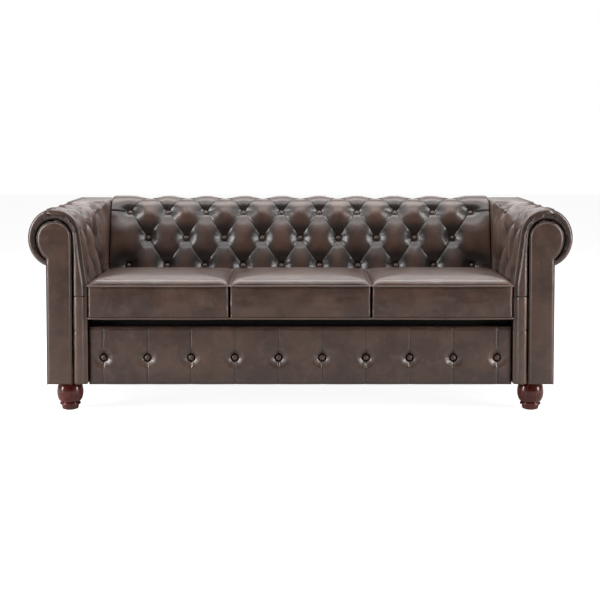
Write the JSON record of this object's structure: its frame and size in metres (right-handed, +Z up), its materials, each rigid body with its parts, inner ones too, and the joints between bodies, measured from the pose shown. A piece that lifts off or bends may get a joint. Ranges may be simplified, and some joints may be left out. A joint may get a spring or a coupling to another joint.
{
  "type": "leather sofa",
  "caption": "Deep-buttoned leather sofa with rolled arms and back, loose box cushions, a pleated front border and turned bun feet.",
  "frame": {"origin": "on the floor, under the middle of the sofa's footprint", "axes": "+X along the width, to the right as seen from the front, and left and right in the node names are as seen from the front too; -Y to the front, the way a sitter faces; +Z up"},
  "size_m": [2.0378, 0.8198, 0.7788],
  "materials": {
    "leather": "dark brown, semi-gloss",
    "wood": "bare pine",
    "foot": "mahogany stain, gloss lacquer",
    "steel": "oiled spring wire",
    "felt": "felt over foam",
    "cloth": "non-woven cloth",
    "nylon": "moulded nylon",
    "card": "wound card"
  },
  "bodies": {
    "sofa": {"front_rail": "wood", "rear_rail": "wood", "end_rail_left": "wood", "end_rail_right": "wood", "cross_rail_left": "wood", "cross_rail_right": "wood", "scroll_board_left": "wood", "scroll_board_right": "wood", "arm_base_rail_left": "wood", "arm_base_rail_right": "wood", "back_bottom_rail": "wood", "back_post_1": "wood", "back_post_2": "wood", "back_post_3": "wood", "back_roll_tube": "card", "arm_roll_tube_left": "card", "arm_roll_tube_right": "card", "seat_spring_unit_left": "steel", "seat_spring_unit_centre": "steel", "seat_spring_unit_right": "steel", "arm_bolt_left_1": "steel", "arm_bolt_left_2": "steel", "arm_bolt_right_1": "steel", "arm_bolt_right_2": "steel", "seat_deck": "felt", "dust_cover": "cloth", "front_border": "leather", "back_pad": "leather", "outside_back_panel": "leather", "arm_pad_left": "leather", "arm_lower_panel_left": "leather", "scroll_panel_left": "leather", "outside_arm_panel_left": "leather", "arm_rear_panel_left": "leather", "arm_pad_right": "leather", "arm_lower_panel_right": "leather", "scroll_panel_right": "leather", "outside_arm_panel_right": "leather", "arm_rear_panel_right": "leather", "front_button_01": "leather", "front_button_02": "leather", "front_button_03": "leather", "front_button_04": "leather", "front_button_05": "leather", "front_button_06": "leather", "front_button_07": "leather", "front_button_08": "leather", "front_button_09": "leather", "front_button_10": "leather", "foot_front_left": "foot", "foot_front_right": "foot", "foot_rear_left": "foot", "foot_rear_right": "foot", "foot_glide_front_left": "nylon", "foot_glide_front_right": "nylon", "foot_glide_rear_left": "nylon", "foot_glide_rear_right": "nylon"},
    "cushion_left": {"seat_cushion_left": "leather"},
    "cushion_centre": {"seat_cushion_centre": "leather"},
    "cushion_right": {"seat_cushion_right": "leather"}
  },
  "joints": [
    {"name": "lift_cushion_left", "type": "slide", "parent": "sofa", "child": "cushion_left", "axis": [0, 0, 1], "range_m": [0, 0.4]},
    {"name": "lift_cushion_centre", "type": "slide", "parent": "sofa", "child": "cushion_centre", "axis": [0, 0, 1], "range_m": [0, 0.4]},
    {"name": "lift_cushion_right", "type": "slide", "parent": "sofa", "child": "cushion_right", "axis": [0, 0, 1], "range_m": [0, 0.4]}
  ]
}
